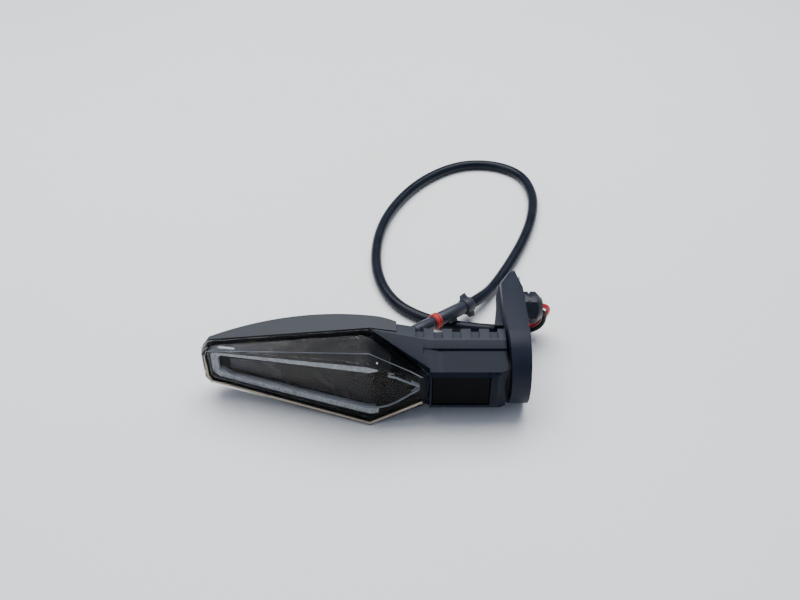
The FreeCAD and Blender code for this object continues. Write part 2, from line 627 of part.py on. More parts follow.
def foot_plate():
    """Steel plate that spreads the mounting screw's load."""
    plate = foot_plate_form(PLATE_INSET, -PLATE_THICK, 0.0)
    plate = plate.cut(rod(INSERT_R, (-5.0, 0, 0), (1.0, 0, 0)))
    return plate.cut(rod(OUTLET_STEM_R, (-5.0, OUTLET_Y, 0), (1.0, OUTLET_Y, 0)))


def threaded_insert():
    """Brass insert for an M6 screw."""
    body = rod(INSERT_R, (-INSERT_LENGTH, 0, 0), (0.0, 0, 0))
    return body.cut(rod(THREAD_R, (-INSERT_LENGTH + 0.8, 0, 0), (1.0, 0, 0)))


# Lead outlet

def outlet_body():
    """Hollow stem that is pushed through the plate from inside the foot."""
    stem = rod(OUTLET_STEM_R, (OUTLET_STEM_X[0], OUTLET_Y, 0), (OUTLET_STEM_X[1], OUTLET_Y, 0))
    flange = rod(OUTLET_FLANGE_R, (OUTLET_STEM_X[0], OUTLET_Y, 0), (-PLATE_THICK, OUTLET_Y, 0))
    return fused([stem, flange]).cut(rod(OUTLET_BORE_R, (-10.0, OUTLET_Y, 0), (10.0, OUTLET_Y, 0)))


def outlet_washer():
    """Washer between the plate and the nut."""
    ring = rod(OUTLET_WASHER_R, (0.0, OUTLET_Y, 0), (OUTLET_NUT_X[0], OUTLET_Y, 0))
    return ring.cut(rod(OUTLET_STEM_R, (-1.0, OUTLET_Y, 0), (OUTLET_NUT_X[0] + 1.0, OUTLET_Y, 0)))


def outlet_nut():
    """Hexagon cap nut with a groove and a bevelled end."""
    radius = OUTLET_HEX / math.sqrt(3.0)
    turns = [math.radians(60.0 * k) for k in range(6)]
    corners = [(OUTLET_Y + radius * math.cos(turn), radius * math.sin(turn)) for turn in turns]
    start, end = [Vector(x, OUTLET_Y, 0.0) for x in OUTLET_NUT_X]
    groove_start, groove_end = [(x, OUTLET_Y, 0.0) for x in OUTLET_GROOVE_X]
    groove = rod(radius + 1.0, groove_start, groove_end).cut(rod(OUTLET_GROOVE_R, groove_start, groove_end))
    length = (end - start).Length
    tip_r = radius - OUTLET_BEVEL
    cone = Part.makeCone(tip_r + length, tip_r, length, start, end - start)
    nut = prism_x(corners, *OUTLET_NUT_X).cut(groove).common(cone)
    nut = nut.cut(rod(OUTLET_STEM_R, (0.0, OUTLET_Y, 0), (OUTLET_STEM_X[1], OUTLET_Y, 0)))
    return nut.cut(rod(OUTLET_BORE_R, (0.0, OUTLET_Y, 0), (20.0, OUTLET_Y, 0)))


def wire_grommet():
    """Rubber plug that seals the two wires in the outlet."""
    plug = rod(OUTLET_BORE_R, (GROMMET_X[0], OUTLET_Y, 0), (GROMMET_X[1], OUTLET_Y, 0))
    for side in (1, -1):
        z = side * WIRE_HALF_GAP
        plug = plug.cut(rod(WIRE_R, (-2.0, OUTLET_Y, z), (20.0, OUTLET_Y, z)))
    return plug


# Wires and lead

def bent_path(points):
    """Straight runs joined by the largest tangent arcs that fit, with the arcs' radii."""
    spots = [Vector(*p) for p in points]
    edges = []
    radii = []
    start = spots[0]
    for before, corner, after in zip(spots, spots[1:], spots[2:]):
        arrive = (corner - before).normalize()
        leave = (after - corner).normalize()
        half_turn = arrive.getAngle(leave) / 2
        reach = 0.45 * min((corner - before).Length, (after - corner).Length)
        radius = reach / math.tan(half_turn)
        bulge = (leave - arrive).normalize() * (radius / math.cos(half_turn) - radius)
        arc_start = corner - arrive * reach
        arc_end = corner + leave * reach
        edges.append(Part.LineSegment(start, arc_start).toShape())
        edges.append(Part.Arc(arc_start, corner + bulge, arc_end).toShape())
        radii.append(radius)
        start = arc_end
    edges.append(Part.LineSegment(start, spots[-1]).toShape())
    return Part.Wire(edges), radii


def tube(name, points, radius):
    """Round solid along a route, checked against its section times its length."""
    path, radii = bent_path(points)
    start = Vector(*points[0])
    axis = (Vector(*points[1]) - start).normalize()
    circle = Part.Wire([Part.makeCircle(radius, start, axis)])
    solid = path.makePipeShell([circle], True, False)
    ratio = solid.Volume / (math.pi * radius ** 2 * path.Length)
    print(name, "length %.1f" % path.Length, "volume ratio %.4f" % ratio,
          "radii", " ".join("%.1f" % r for r in radii))
    return solid


def neck_leads():
    """Two insulated wires from the board to the foot."""
    start, end = TERMINAL_X[1], NECK_LEAD_END_X
    return Part.makeCompound([rod(WIRE_R, (start, WIRE_Y, side * WIRE_HALF_GAP),
                                  (end, WIRE_Y, side * WIRE_HALF_GAP))
                              for side in (1, -1)])


def foot_leads():
    """The same wires inside the foot, one each side of the insert, and out through the grommet."""
    wires = []
    for side in (1, -1):
        lane = side * WIRE_LANE_Z
        near = side * WIRE_HALF_GAP
        route = [(NECK_LEAD_END_X, WIRE_Y, near), (WIRE_LANE_X, WIRE_Y, near), (WIRE_LANE_X, WIRE_Y, lane),
                 (WIRE_LANE_X, OUTLET_Y, lane), (WIRE_LANE_X, OUTLET_Y, near), (GROMMET_X[1], OUTLET_Y, near)]
        wires.append(tube("foot_leads", route, WIRE_R))
    return Part.makeCompound(wires)


def wire_red():
    """Free end of one wire, from the grommet to the sleeve."""
    return tube("wire_red", WIRE_RED_ROUTE, WIRE_R)


def wire_black():
    """Free end of the other wire."""
    return tube("wire_black", WIRE_BLACK_ROUTE, WIRE_R)


def lead_sleeve():
    """Sleeve round both wires, lying in a loop on the table."""
    return tube("lead_sleeve", CORD_ROUTE, CORD_R)


# Plug

def plug_placed(shape):
    """Piece modelled along +X from the plug's rear end, put in its place on the lead."""
    along = Vector(PLUG_AIM[0] - CORD_ROUTE[-1][0], PLUG_AIM[1] - CORD_ROUTE[-1][1], 0.0)
    turn = math.degrees(math.atan2(along.y, along.x))
    rotation = FreeCAD.Rotation(turn, -PLUG_TILT, PLUG_ROLL)
    shape.Placement = FreeCAD.Placement(Vector(*CORD_ROUTE[-1]), rotation)
    return shape


def plug_retainer():
    """Rear cap with two pointed finger wings."""
    start = 0.2
    half_thick = 0.9
    cap = rod(PLUG_R + 0.5, (start, 0, 0), (PLUG_CAP_LENGTH, 0, 0))
    wing = [(start, PLUG_R), (1.0, PLUG_WING), (3.4, PLUG_WING - 0.4), (4.6, PLUG_R)]
    wings = prism_z(wing + [(x, -y) for x, y in reversed(wing)], -half_thick, half_thick)
    return plug_placed(fused([cap, wings]))


def plug_housing():
    """Round housing, its ring groove, its nose and the socket in the nose."""
    body = rod(PLUG_R, (PLUG_CAP_LENGTH, 0, 0), (RING_AT[0], 0, 0))
    groove = rod(PLUG_NOSE_R - 0.3, (RING_AT[0], 0, 0), (RING_AT[1], 0, 0))
    nose = rod(PLUG_NOSE_R, (RING_AT[1], 0, 0), (PLUG_LENGTH, 0, 0))
    tab = block(TAB_X, (PLUG_R - 0.6, PLUG_R + 0.9), (-1.2, 1.2))
    key = block((RING_AT[1] + 2.0, PLUG_LENGTH - 2.0), (-0.8, 0.8), (PLUG_NOSE_R - 0.5, PLUG_NOSE_R + 0.6))
    solid = fused([body, groove, nose, tab, key])
    socket = rod(PLUG_NOSE_R - 0.8, (PLUG_LENGTH - 9.0, 0, 0), (PLUG_LENGTH + 1.0, 0, 0))
    for side in (1, -1):
        socket = socket.fuse(rod(PIN_R, (PLUG_LENGTH - 12.0, side * PIN_PITCH, 0),
                                 (PLUG_LENGTH, side * PIN_PITCH, 0)))
    return plug_placed(solid.cut(socket))


def plug_seal_ring():
    """Red sealing ring with two lips."""
    ring = rod(RING_R - 0.35, (RING_AT[0], 0, 0), (RING_AT[1], 0, 0))
    lips = [rod(RING_R, (x, 0, 0), (x + 0.8, 0, 0)) for x in (RING_AT[0] + 0.4, RING_AT[0] + 2.2)]
    return plug_placed(fused([ring] + lips).cut(rod(PLUG_NOSE_R - 0.3, (0, 0, 0), (PLUG_LENGTH, 0, 0))))


def plug_pins():
    """Two contact pins in the plug's socket."""
    start = PLUG_LENGTH - 12.0
    end = PLUG_LENGTH - 2.0
    pins = [rod(PIN_R, (start, side * PIN_PITCH, 0), (end, side * PIN_PITCH, 0)) for side in (1, -1)]
    return Part.makeCompound([plug_placed(pin) for pin in pins])


NODES = [lens, lens_seal, rear_shell, bezel, end_panel, light_guide, led_board, leds, board_parts,
         board_terminal, board_screws, neck_core_head, neck_sleeve, front_panel, neck_leads, neck_core_base,
         mounting_foot, foot_plate, threaded_insert, foot_leads, outlet_body, outlet_washer, outlet_nut,
         wire_grommet, wire_red, wire_black, lead_sleeve, plug_retainer, plug_housing, plug_seal_ring, plug_pins]

for make in NODES:
    piece = make()
    piece.exportStep("parts/%s.step" % make.__name__)
    print("%-16s %9.1f mm3, %d solid(s)%s" % (make.__name__, piece.Volume, len(piece.Solids),
                                               "" if piece.isValid() else " INVALID"))
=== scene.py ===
"""Looks of a motorcycle turn signal: materials, soft parts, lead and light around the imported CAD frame."""
import math

import bmesh
import bpy
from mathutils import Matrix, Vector


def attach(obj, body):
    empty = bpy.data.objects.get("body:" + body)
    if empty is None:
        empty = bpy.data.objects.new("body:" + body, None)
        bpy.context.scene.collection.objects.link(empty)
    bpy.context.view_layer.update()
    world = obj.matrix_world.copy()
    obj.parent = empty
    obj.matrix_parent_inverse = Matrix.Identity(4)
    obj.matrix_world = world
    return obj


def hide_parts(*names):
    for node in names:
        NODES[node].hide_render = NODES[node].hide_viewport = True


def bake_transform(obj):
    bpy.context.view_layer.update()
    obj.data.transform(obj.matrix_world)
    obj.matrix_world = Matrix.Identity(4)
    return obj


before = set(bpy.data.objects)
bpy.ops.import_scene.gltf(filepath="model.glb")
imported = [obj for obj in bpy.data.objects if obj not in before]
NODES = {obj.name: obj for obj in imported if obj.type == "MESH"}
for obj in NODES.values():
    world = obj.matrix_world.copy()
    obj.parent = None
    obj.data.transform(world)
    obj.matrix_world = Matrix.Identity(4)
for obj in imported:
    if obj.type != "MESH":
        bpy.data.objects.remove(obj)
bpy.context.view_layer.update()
SCENE = bpy.context.scene
MM = 0.001

# The surface the part lies on, and the camera over it
TABLE_Z = -18.0 * MM
CAMERA_AIM = (-53.5 * MM, 46.4 * MM, TABLE_Z)
CAMERA_DISTANCE = 0.432
CAMERA_ELEVATION = math.radians(40.0)
CAMERA_LENS = 39.6

# Lead and free wires: the same routes as the solids
CORD_Z = TABLE_Z + 2.75 * MM
CORD_ROUTE = [(-9.5, 21.3, 0.0), (-18.5, 22.2, 0.0), (-29.5, 24.6, 0.0), (-43.0, 29.6, 0.0),
              (-55.8, 39.8, 0.0), (-64.0, 57.5, 0.0), (-66.5, 80.0, 0.0), (-63.5, 106.0, 0.0),
              (-54.5, 130.0, 0.0), (-39.5, 152.5, 0.0), (-19.0, 168.0, 0.0), (2.0, 168.5, 0.0),
              (17.5, 157.5, 0.0), (22.0, 136.5, 0.0), (19.2, 115.0, 0.0), (12.0, 92.5, 0.0),
              (2.2, 70.8, 0.0), (-7.2, 53.0, 0.0), (-14.0, 41.7, 2.9), (-20.1, 35.4, 4.1)]
WIRE_RED_ROUTE = [(8.4, 19.5, 16.75), (14.6, 19.5, 16.75), (13.6, 23.0, 6.25), (7.0, 22.9, 0.0),
                  (-2.0, 22.5, 0.0), (-9.2, 22.4, 0.0)]
WIRE_BLACK_ROUTE = [(8.4, 19.5, 13.75), (12.7, 19.5, 13.75), (12.4, 19.2, 4.85), (6.0, 20.0, 0.0),
                    (-2.0, 20.1, 0.0), (-9.5, 20.2, 0.0)]
CORD_DIAMETER = 5.5 * MM
WIRE_DIAMETER = 2.2 * MM

# Lamp, in millimetres: the lens's outline (x, half height), its front and its joint (x, y)
LENS_OUTLINE = [(-136.5, 6.5), (-133.8, 10.0), (-66.0, 17.7), (-41.5, 7.6)]
LENS_FRONT = [(-136.5, -18.5), (-66.0, -36.3), (-41.5, -33.0)]
BEZEL_SPAN = (-134.0 * MM, -57.0 * MM)
LENS_PARTING = [(-136.5, -13.6), (-66.0, -15.0), (-41.5, -30.8)]
NECK_EDGE_X = -43.0
FLANGE_WIDTH = 1.9
FLANGE_RISE = 0.35
GUIDE_X = (-131.6, -62.5)
GUIDE_INSET = 4.1
GUIDE_WIDTH = 3.6
GUIDE_DEPTH = 3.2
GUIDE_THICK = 1.8
GUIDE_TURN = 3.0
FLUTE_PITCH = 1.6
FLUTE_DEPTH = 0.55
RIDGE_X = (-129.0, -62.0)
RIDGE_INSET = 7.0
RIDGE_DEPTH = 2.5
RIDGE_TAPER = 5.0
RIDGE_NECK = [(-58.5, 8.6), (-55.0, 7.0), (-50.0, 3.6), (-45.5, 0.6)]
RIM_INSET = 1.3
RIM_HALF = 0.5
RIM_DEPTH = 0.7
RIM_STEP_BACK = 7.0
SHADE_INSET = 1.0
SHADE_FRONT = 1.7
RIDGE_STEP = 1.5
WALL_STEP = 2.0

# Neck, in millimetres: the edge of the grey rear strip, and where the neck flexes, in metres
STRIP_NECK = (-41.5, -17.4)
STRIP_EDGE = 0.3
STRIP_EDGE_Z = 13.0
FLEX_SLICES = (-64.0 * MM, -11.0 * MM, 1.5 * MM)

BEVEL_SEGMENTS = 3
BEVEL_ANGLE = 25.0

# Solids whose edges are softened: node, piece, width in millimetres, body
ROUNDED = [("mounting_foot", "foot_moulding", 0.6, "base"), ("outlet_nut", "cap_nut", 0.25, "base"),
           ("plug_retainer", "plug_cap", 0.3, "base"), ("plug_housing", "plug_shell", 0.25, "base")]


# Camera and cords

def make_camera():
    """Camera looking down on the front of the part."""
    data = bpy.data.cameras.new("camera")
    data.lens = CAMERA_LENS
    data.sensor_width = 36.0
    data.clip_start = 0.01
    camera = bpy.data.objects.new("camera", data)
    SCENE.collection.objects.link(camera)
    back = Vector((0.0, -math.cos(CAMERA_ELEVATION), math.sin(CAMERA_ELEVATION)))
    camera.location = Vector(CAMERA_AIM) + back * CAMERA_DISTANCE
    camera.rotation_mode = "QUATERNION"
    camera.rotation_quaternion = (-back).to_track_quat("-Z", "Y")
    SCENE.camera = camera


def cord_tube(name, route, diameter):
    """Round cord and its centre line, along a route in millimetres above the lead's resting line."""
    curve = bpy.data.curves.new(name, "CURVE")
    curve.dimensions = "3D"
    spline = curve.splines.new("NURBS")
    spline.points.add(len(route) - 1)
    for point, (x, y, rise) in zip(spline.points, route):
        point.co = (x * MM, y * MM, CORD_Z + rise * MM, 1.0)
    spline.order_u = 3
    spline.use_endpoint_u = True
    spline.resolution_u = 16
    holder = bpy.data.objects.new(name, curve)
    SCENE.collection.objects.link(holder)
    line = bpy.data.meshes.new_from_object(holder)
    path = [tuple(vertex.co) for vertex in line.vertices]
    curve.bevel_depth = diameter / 2
    curve.bevel_resolution = 8
    curve.use_fill_caps = True
    bpy.context.view_layer.update()
    mesh = bpy.data.meshes.new_from_object(holder)
    bpy.data.objects.remove(holder)
    bpy.data.meshes.remove(line)
    work = bmesh.new()
    work.from_mesh(mesh)
    bmesh.ops.remove_doubles(work, verts=work.verts, dist=0.000001)
    work.to_mesh(mesh)
    work.free()
    piece = bpy.data.objects.new(name, mesh)
    SCENE.collection.objects.link(piece)
    smooth_shade(piece, 45.0)
    return piece, path


# Mesh helpers

def new_piece(name, mesh):
    """Object in the scene with a mesh."""
    piece = bpy.data.objects.new(name, mesh)
    SCENE.collection.objects.link(piece)
    return piece


def softened(node, name, width):
    """Copy of a CAD node with its sharp edges rounded."""
    mesh = NODES[node].data.copy()
    mesh.name = name
    mesh.materials.clear()
    work = bmesh.new()
    work.from_mesh(mesh)
    bmesh.ops.remove_doubles(work, verts=work.verts, dist=0.00001)
    bmesh.ops.dissolve_limit(work, angle_limit=math.radians(1.0), verts=work.verts, edges=work.edges)
    work.to_mesh(mesh)
    work.free()
    piece = new_piece(name, mesh)
    round_edges(piece, width)
    return piece


def round_edges(piece, width):
    """Bevel the sharp edges and apply it."""
    modifier = piece.modifiers.new("round", "BEVEL")
    modifier.width = width
    modifier.segments = BEVEL_SEGMENTS
    modifier.limit_method = "ANGLE"
    modifier.angle_limit = math.radians(BEVEL_ANGLE)
    modifier.harden_normals = False
    apply_modifiers(piece)
    smooth_shade(piece)


def apply_modifiers(piece):
    """Replace the mesh with its evaluated form."""
    graph = bpy.context.evaluated_depsgraph_get()
    mesh = bpy.data.meshes.new_from_object(piece.evaluated_get(graph))
    piece.modifiers.clear()
    piece.data = mesh


def smooth_shade(piece, angle=30.0):
    """Smooth shading that keeps the edges sharper than an angle."""
    for polygon in piece.data.polygons:
        polygon.use_smooth = True
    piece.data.set_sharp_from_angle(angle=math.radians(angle))


def slice_along_x(piece, low, high, step):
    """Cut a mesh into thin slices so that it bends smoothly."""
    work = bmesh.new()
    work.from_mesh(piece.data)
    count = int((high - low) / step)
    for k in range(count + 1):
        geometry = work.verts[:] + work.edges[:] + work.faces[:]
        place = (low + k * step, 0.0, 0.0)
        bmesh.ops.bisect_plane(work, geom=geometry, plane_co=place, plane_no=(1.0, 0.0, 0.0))
    work.to_mesh(piece.data)
    work.free()


# Material helpers

def node_tree(name):
    """Fresh material with its node tree, shader and output."""
    material = bpy.data.materials.new(name)
    material.use_nodes = True
    tree = material.node_tree
    return material, tree, tree.nodes["Principled BSDF"]


def object_noise(tree, scale, detail=3.0, stretch=(1.0, 1.0, 1.0)):
    """Noise in object space, in steps per metre."""
    place = tree.nodes.new("ShaderNodeTexCoord")
    mapping = tree.nodes.new("ShaderNodeMapping")
    mapping.inputs["Scale"].default_value = stretch
    noise = tree.nodes.new("ShaderNodeTexNoise")
    noise.inputs["Scale"].default_value = scale
    noise.inputs["Detail"].default_value = detail
    tree.links.new(place.outputs["Object"], mapping.inputs["Vector"])
    tree.links.new(mapping.outputs["Vector"], noise.inputs["Vector"])
    return noise


def ramp(tree, source, low, high, start=0.3, end=0.7):
    """Two-colour ramp over a noise value."""
    node = tree.nodes.new("ShaderNodeValToRGB")
    node.color_ramp.elements[0].position = start
    node.color_ramp.elements[0].color = (*low, 1.0)
    node.color_ramp.elements[1].position = end
    node.color_ramp.elements[1].color = (*high, 1.0)
    tree.links.new(source, node.inputs["Fac"])
    return node


def spread(tree, source, low, high):
    """Noise value mapped to a range of numbers."""
    node = tree.nodes.new("ShaderNodeMapRange")
    node.inputs["From Min"].default_value = 0.3
    node.inputs["From Max"].default_value = 0.7
    node.inputs["To Min"].default_value = low
    node.inputs["To Max"].default_value = high
    tree.links.new(source, node.inputs["Value"])
    return node.outputs["Result"]


def add_bump(tree, shader, source, depth):
    """Surface relief from a height value, with its depth in metres."""
    bump = tree.nodes.new("ShaderNodeBump")
    bump.inputs["Strength"].default_value = 1.0
    bump.inputs["Distance"].default_value = depth
    tree.links.new(source, bump.inputs["Height"])
    tree.links.new(bump.outputs["Normal"], shader.inputs["Normal"])


def moulded(name, dark, light, rough, grain, depth, shine=0.5, patch=90.0):
    """Moulded plastic or rubber: patchy colour and gloss, with a fine grain."""
    material, tree, shader = node_tree(name)
    shader.inputs["Specular IOR Level"].default_value = shine
    patches = object_noise(tree, patch, 4.0)
    colour = ramp(tree, patches.outputs["Fac"], dark, light)
    tree.links.new(colour.outputs["Color"], shader.inputs["Base Color"])
    tree.links.new(spread(tree, patches.outputs["Fac"], *rough), shader.inputs["Roughness"])
    fine = object_noise(tree, grain, 2.0)
    add_bump(tree, shader, fine.outputs["Fac"], depth)
    return material


def painted_falloff_bezel():
    """Inner panel with painted light and shade: lit bluish grey at the tip, brownish black in the middle,
    black at the neck, standing in for the light falling off along the inside of the lamp.
    """
    material, tree, shader = node_tree("bezel_dark")
    shader.inputs["Specular IOR Level"].default_value = 0.2
    place = tree.nodes.new("ShaderNodeTexCoord")
    parts = tree.nodes.new("ShaderNodeSeparateXYZ")
    along = tree.nodes.new("ShaderNodeMapRange")
    along.inputs["From Min"].default_value = BEZEL_SPAN[0]
    along.inputs["From Max"].default_value = BEZEL_SPAN[1]
    tree.links.new(place.outputs["Object"], parts.inputs["Vector"])
    tree.links.new(parts.outputs["X"], along.inputs["Value"])
    # Painted light and shade: lit bluish grey at the tip, fading through brownish black to black at the
    # neck.
    falloff_ramp = ramp(tree, along.outputs["Result"], (0.0700, 0.0720, 0.0820), (0.0012, 0.0015, 0.0025),
                  0.05, 0.97)
    middle = falloff_ramp.color_ramp.elements.new(0.45)
    middle.color = (0.0260, 0.0235, 0.0230, 1.0)
    edge = falloff_ramp.color_ramp.elements.new(0.80)
    edge.color = (0.0090, 0.0088, 0.0095, 1.0)
    tree.links.new(falloff_ramp.outputs["Color"], shader.inputs["Base Color"])
    patches = object_noise(tree, 90.0, 4.0)
    tree.links.new(spread(tree, patches.outputs["Fac"], 0.20, 0.30), shader.inputs["Roughness"])
    add_bump(tree, shader, object_noise(tree, 4200.0, 2.0).outputs["Fac"], 0.000004)
    return material


def clear_plastic():
    """Polished clear lens, faintly smoked."""
    material, tree, shader = node_tree("lens_clear")
    patches = object_noise(tree, 40.0, 2.0)
    colour = ramp(tree, patches.outputs["Fac"], (0.90, 0.895, 0.88), (0.94, 0.935, 0.92))
    tree.links.new(colour.outputs["Color"], shader.inputs["Base Color"])
    shader.inputs["Transmission Weight"].default_value = 1.0
    shader.inputs["IOR"].default_value = 1.13
    shader.inputs["Roughness"].default_value = 0.02
    ripple = object_noise(tree, 60.0, 1.0)
    add_bump(tree, shader, ripple.outputs["Fac"], 0.00004)
    return material


def metal(name, dark, light, rough, stretch=(1.0, 1.0, 1.0)):
    """Plated or turned metal with fine streaks."""
    material, tree, shader = node_tree(name)
    shader.inputs["Metallic"].default_value = 1.0
    streaks = object_noise(tree, 1500.0, 3.0, stretch)
    colour = ramp(tree, streaks.outputs["Fac"], dark, light)
    tree.links.new(colour.outputs["Color"], shader.inputs["Base Color"])
    tree.links.new(spread(tree, streaks.outputs["Fac"], *rough), shader.inputs["Roughness"])
    add_bump(tree, shader, streaks.outputs["Fac"], 0.00001)
    return material


def paint(piece, material):
    """Give a piece one material."""
    piece.data.materials.clear()
    piece.data.materials.append(material)


def repaint(node, material):
    """Give a CAD node a better material through its slots."""
    for material_slot in NODES[node].material_slots:
        material_slot.material = material


# Stage

def make_floor():
    """Pale table top."""
    bpy.ops.mesh.primitive_plane_add(size=6.0, location=(0.0, 0.0, TABLE_Z))
    floor = bpy.context.object
    floor.name = "floor"
    material, tree, shader = node_tree("floor")
    patches = object_noise(tree, 3.0, 4.0)
    colour = ramp(tree, patches.outputs["Fac"], (0.88, 0.87, 0.85), (0.92, 0.91, 0.89))
    tree.links.new(colour.outputs["Color"], shader.inputs["Base Color"])
    shader.inputs["Roughness"].default_value = 0.6
    floor.data.materials.append(material)


def area_light(name, place, aim, size, power, colour=(1.0, 1.0, 1.0)):
    """Soft rectangular light."""
    data = bpy.data.lights.new(name, "AREA")
    data.shape = "RECTANGLE"
    data.size, data.size_y = size
    data.energy = power
    data.color = colour
    light = bpy.data.objects.new(name, data)
    SCENE.collection.objects.link(light)
    light.location = place
    light.rotation_mode = "QUATERNION"
    light.rotation_quaternion = (Vector(aim) - Vector(place)).to_track_quat("-Z", "Y")


def make_light():
    """Broad light from above and behind, and a dim room."""
    area_light("ceiling", (-0.1, 0.35, 0.9), (-0.06, 0.0, 0.0), (1.2, 0.8), 19.0, (0.98, 0.99, 1.0))
    area_light("window", (-0.9, -0.3, 0.5), (-0.06, 0.0, 0.0), (0.6, 0.6), 1.2, (1.0, 0.98, 0.95))
    world = bpy.data.worlds.new("room")
    world.use_nodes = True
    world.node_tree.nodes["Background"].inputs["Color"].default_value = (0.66, 0.77, 1.0, 1.0)
    world.node_tree.nodes["Background"].inputs["Strength"].default_value = 0.45
    SCENE.world = world


# Pieces

def outline_half(x):
    """Half height of the lens's outline."""
    for (x0, half0), (x1, half1) in zip(LENS_OUTLINE, LENS_OUTLINE[1:]):
        if x <= x1:
            return half0 + (half1 - half0) * (x - x0) / (x1 - x0)
    return LENS_OUTLINE[-1][1]


def front_y(x):
    """Depth of the lens's front face."""
    (x0, y0), (x1, y1), (x2, y2) = LENS_FRONT
    if x < x1:
        return y0 + (y1 - y0) * (x - x0) / (x1 - x0)
    return y1 + (y2 - y1) * (x - x1) / (x2 - x1)


def parting_y(x):
    """Depth of the line where lens and shell, then lens and neck, meet."""
    (x0, y0), (x1, y1), (x2, y2) = LENS_PARTING
    if x < x1:
        return y0 + (y1 - y0) * (x - x0) / (x1 - x0)
    return y1 + (y2 - y1) * (x - x1) / (x2 - x1)


def strip_line(x):
    """Depth of the edge between the grey rear strip and the dark faces of the neck."""
    if x > STRIP_NECK[0]:
        return STRIP_NECK[1]
    along = (x - LENS_PARTING[1][0]) / (STRIP_NECK[0] - LENS_PARTING[1][0])
    return LENS_PARTING[1][1] + (STRIP_NECK[1] - LENS_PARTING[1][1]) * along


def even_points(corners, step):
    """Points at even distances along a line of corners."""
    points = [Vector(corners[0])]
    for start, end in zip(corners, corners[1:]):
        leg = Vector(end) - Vector(start)
        count = max(1, round(leg.length / step))
        points += [Vector(start) + leg * (k + 1) / count for k in range(count)]
    return points


def swept(name, line, section):
    """Mesh swept along a line in the lens's plane; section(k, point) gives its (offset, depth) pairs."""
    rings = []
    last = len(line) - 1
    for k, point in enumerate(line):
        ahead = line[min(k + 1, last)]
        behind = line[max(k - 1, 0)]
        along = (ahead - behind).normalized()
        side = Vector((-along.y, along.x))
        rings.append([(point.x + side.x * u, depth, point.y + side.y * u) for u, depth in section(k, point)])
    work = bmesh.new()
    verts = [[work.verts.new(Vector(spot) * MM) for spot in ring] for ring in rings]
    size = len(verts[0])
    for near, far in zip(verts, verts[1:]):
        for k in range(size):
            work.faces.new((near[k], near[(k + 1) % size], far[(k + 1) % size], far[k]))
    work.faces.new(verts[0])
    work.faces.new(verts[-1][::-1])
    bmesh.ops.recalc_face_normals(work, faces=work.faces)
    mesh = bpy.data.meshes.new(name)
    work.to_mesh(mesh)
    work.free()
    return new_piece(name, mesh)


def fluted_guide():
    """U-shaped light guide with fine flutes across it."""
    half = GUIDE_WIDTH / 2
    start, end = GUIDE_X
    tip_half = outline_half(start) - GUIDE_INSET
    arm = outline_half(end) - GUIDE_INSET
    corners = [(end, arm), (start + GUIDE_TURN, tip_half + 0.4), (start, tip_half - GUIDE_TURN * 0.6),
               (start, -tip_half + GUIDE_TURN * 0.6), (start + GUIDE_TURN, -tip_half - 0.4), (end, -arm)]
    line = even_points(corners, FLUTE_PITCH / 4)
    rise = (0.0, 0.6, 1.0, 0.6)

    def section(k, point):
        """Flat back, and a front with a flute's height in its middle."""
        front = front_y(point.x) + GUIDE_DEPTH
        wave = FLUTE_DEPTH * rise[k % 4]
        top = [(-half, front + 0.9), (-half + 0.5, front + 0.3), (-0.9, front + wave),
               (0.0, front - 0.1 + wave), (0.9, front + wave),
               (half - 0.5, front + 0.3), (half, front + 0.9)]
        return top + [(half, front + GUIDE_THICK), (-half, front + GUIDE_THICK)]

    guide = swept("fluted_guide", line, section)
    smooth_shade(guide, 50.0)
    return guide


def lower_ridge_points():
    """Line of the ridge from the tip along the lower arm and on to the neck's corner."""
    start, end = RIDGE_X
    near = outline_half(end) - RIDGE_INSET
    tip = outline_half(start + RIDGE_TAPER) - RIDGE_INSET
    arm = [(start, -1.5), (start + RIDGE_TAPER, -tip), (end, -near)]
    return arm + [(x, -z) for x, z in RIDGE_NECK]


def inner_ridge(name, points):
    """Slim step between the guide and the sunken middle panel, a bar that stands for a bright edge line in
    the clear plastic.
    """
    line = even_points(points, RIDGE_STEP)

    def section(k, point):
        """Flat top and a slope that faces the middle of the lamp."""
        front = front_y(point.x) + RIDGE_DEPTH
        return [(-0.3, front), (0.1, front), (0.7, front + 1.2), (0.7, front + 1.6), (-0.3, front + 1.6)]

    ridge = swept(name, line, section)
    smooth_shade(ridge, 60.0)
    return ridge


def step_back(x):
    """Share of the upper line's step back: none at the tip and the neck, all at the widest point."""
    tip, widest, neck = LENS_OUTLINE[1][0], LENS_OUTLINE[2][0], NECK_EDGE_X
    if x < widest:
        return max(0.0, (x - tip) / (widest - tip))
    return max(0.0, (neck - x) / (neck - widest))


def painted_rim_highlight():
    """Painted highlight and reflection: a bright bar inside the wall, standing in for the line of light that
    the edge of the clear wall makes, all round the front.
    """
    upper = [(x, half - RIM_INSET) for x, half in reversed(LENS_OUTLINE)]
    upper[0] = (NECK_EDGE_X - RIM_INSET, outline_half(NECK_EDGE_X) - RIM_INSET)
    upper[-1] = (LENS_OUTLINE[0][0] + RIM_INSET, LENS_OUTLINE[0][1] - RIM_INSET / 2)
    line = even_points(upper + [(x, -z) for x, z in reversed(upper)], WALL_STEP)

    def section(k, point):
        """Narrow flat bar inside the wall, finer along the upper edge."""
        front = front_y(point.x) + RIM_DEPTH
        half = RIM_HALF
        if point.y > 0.0:
            half = RIM_HALF / 3
            front += RIM_STEP_BACK * step_back(point.x)
        return [(-half, front), (half, front), (half, front + half), (-half, front + half)]

    rim = swept("painted_rim_highlight", line, section)
    smooth_shade(rim, 40.0)
    return rim


